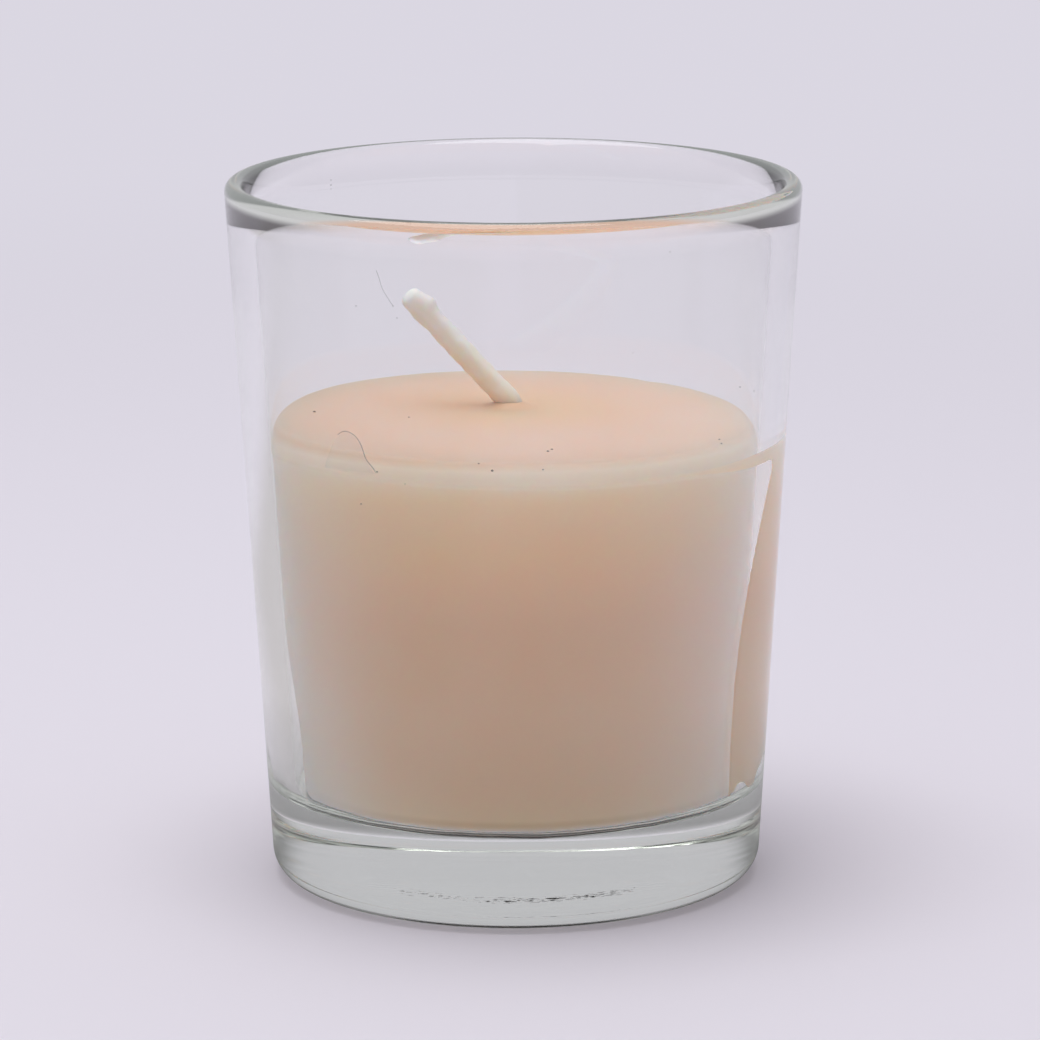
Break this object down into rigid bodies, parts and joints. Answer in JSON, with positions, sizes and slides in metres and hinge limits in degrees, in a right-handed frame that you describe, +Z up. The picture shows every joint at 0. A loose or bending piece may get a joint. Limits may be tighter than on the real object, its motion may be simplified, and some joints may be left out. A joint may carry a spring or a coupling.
{
  "type": "scented candle",
  "caption": "Unlit scented candle: pale peach wax poured into a small clear pressed-glass cup, with a leaning waxed wick.",
  "frame": {"origin": "middle of the foot, on the plane that the cup stands on", "axes": "+Z up through the mouth of the cup, -Y towards the viewer of the picture, wick leaning towards -X"},
  "size_m": [0.053, 0.053, 0.0654],
  "materials": {
    "glass": "gloss",
    "wax": "satin",
    "wick": "satin",
    "metal": "satin",
    "sticker": "matte"
  },
  "bodies": {
    "root": {"glass_cup": "glass", "wax_fill": "wax", "wick": "wick", "wick_sustainer": "metal", "wick_sticker": "sticker"}
  },
  "joints": []
}
